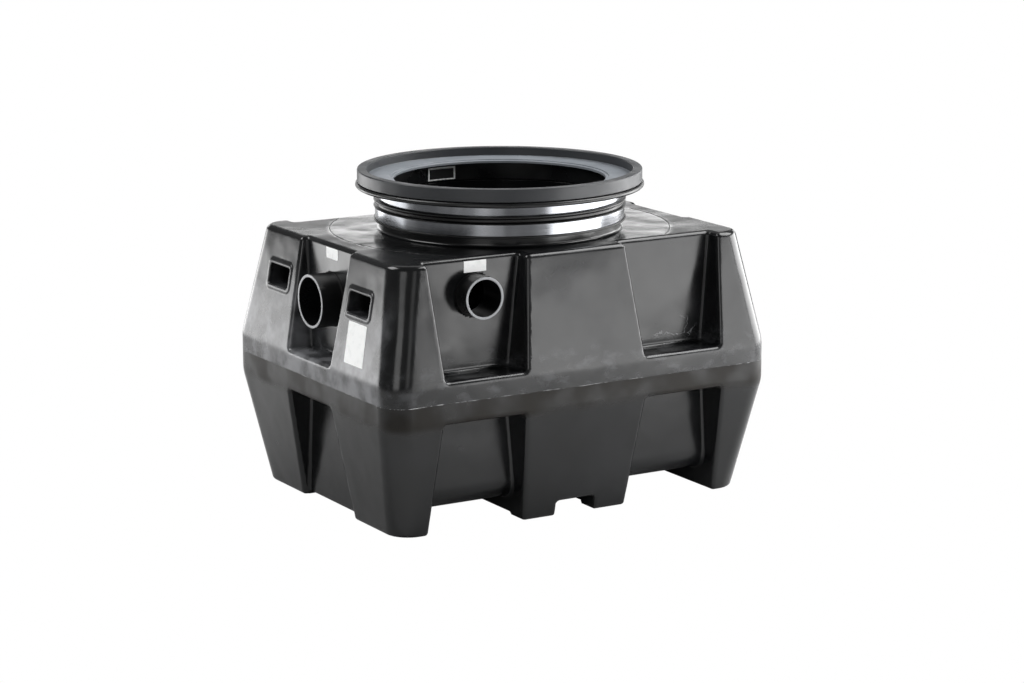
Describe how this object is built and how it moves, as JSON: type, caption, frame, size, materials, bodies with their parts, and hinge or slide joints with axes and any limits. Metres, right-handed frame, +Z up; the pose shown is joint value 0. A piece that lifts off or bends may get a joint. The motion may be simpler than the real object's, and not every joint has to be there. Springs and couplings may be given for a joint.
{
  "type": "oil separator tank",
  "caption": "Moulded black plastic oil separator tank with pleated sides, plain pipe ends, vents, and an open manhole neck with a clamped rubber coupling and a cover frame.",
  "frame": {"origin": "on the floor under the middle of the tank", "axes": "+X along the tank towards the outlet, +Y to the back, +Z up"},
  "size_m": [0.9386, 0.7224, 0.7],
  "materials": {
    "tank_polyethylene": "rotationally moulded, satin",
    "riser_polyethylene": "moulded, semi-gloss",
    "frame_composite": "moulded, matt grey-black",
    "gasket_rubber": "matt",
    "coupling_rubber": "moulded, satin",
    "band_stainless": "rolled stainless strip",
    "pipe_polyethylene": "extruded, satin, saw-cut ends"
  },
  "bodies": {
    "root": {"deck": "tank_polyethylene", "inlet_foot": "tank_polyethylene", "inlet_floor_panel": "tank_polyethylene", "middle_foot": "tank_polyethylene", "outlet_floor_panel": "tank_polyethylene", "outlet_foot": "tank_polyethylene", "lower_front_wall": "tank_polyethylene", "lower_back_wall": "tank_polyethylene", "lower_inlet_wall": "tank_polyethylene", "lower_outlet_wall": "tank_polyethylene", "upper_front_wall": "tank_polyethylene", "upper_back_wall": "tank_polyethylene", "upper_inlet_wall": "tank_polyethylene", "upper_outlet_wall": "tank_polyethylene", "manhole_neck": "tank_polyethylene", "riser_collar": "riser_polyethylene", "cover_frame": "frame_composite", "frame_gasket": "gasket_rubber", "coupling_sleeve": "coupling_rubber", "lower_band": "band_stainless", "upper_band": "band_stainless", "lower_band_screw": "band_stainless", "upper_band_screw": "band_stainless", "inlet_pipe": "pipe_polyethylene", "outlet_pipe": "pipe_polyethylene", "front_vent": "pipe_polyethylene", "back_vent": "pipe_polyethylene", "inlet_elbow": "pipe_polyethylene", "outlet_elbow": "pipe_polyethylene", "inlet_drop_pipe": "pipe_polyethylene", "outlet_drop_pipe": "pipe_polyethylene"}
  },
  "joints": []
}
